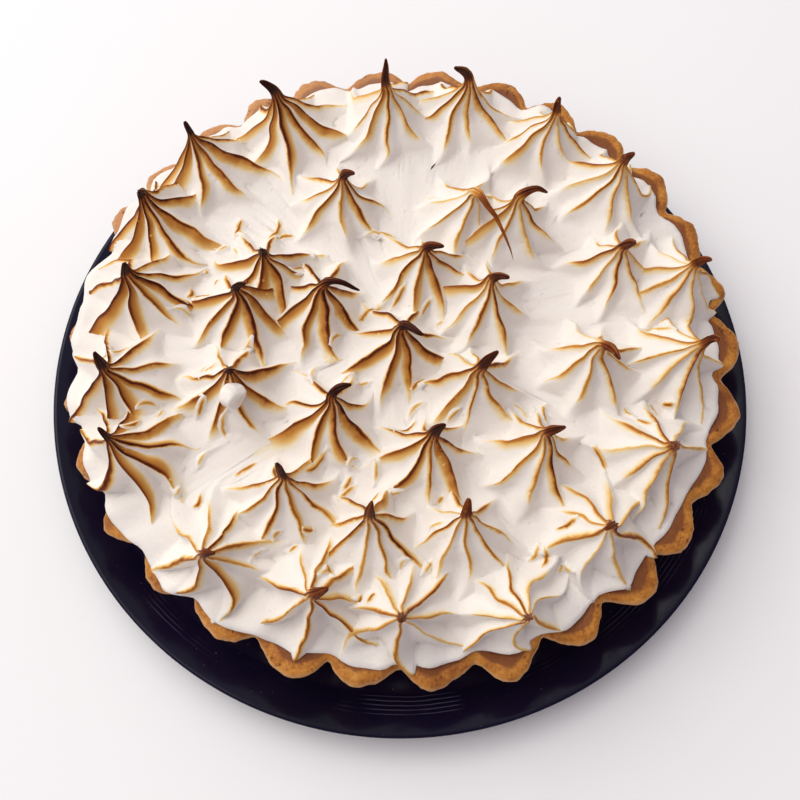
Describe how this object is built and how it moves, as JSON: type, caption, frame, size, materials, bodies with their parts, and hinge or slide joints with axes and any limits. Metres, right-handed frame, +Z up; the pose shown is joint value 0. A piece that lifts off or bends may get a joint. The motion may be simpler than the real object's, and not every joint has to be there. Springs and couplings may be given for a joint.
{
  "type": "lemon meringue pie",
  "caption": "Uncut lemon meringue pie in a fluted pastry shell, covered with piped and torched meringue peaks, resting on a dark glazed plate.",
  "frame": {"origin": "centre of the plate's foot ring, on the surface that the plate stands on", "axes": "+Z up along the plate's axis, +X right and +Y to the back as the pie is seen from its front"},
  "size_m": [0.27, 0.27, 0.0715],
  "materials": {
    "plate": "dark navy glaze, glossy, with fine scuff rings",
    "crust": "golden-brown baked shortcrust, matt and finely pored",
    "meringue": "satin white meringue, torched golden to near black on its ridges and tips"
  },
  "bodies": {
    "root": {"plate": "plate", "crust": "crust", "meringue": "meringue"}
  },
  "joints": []
}
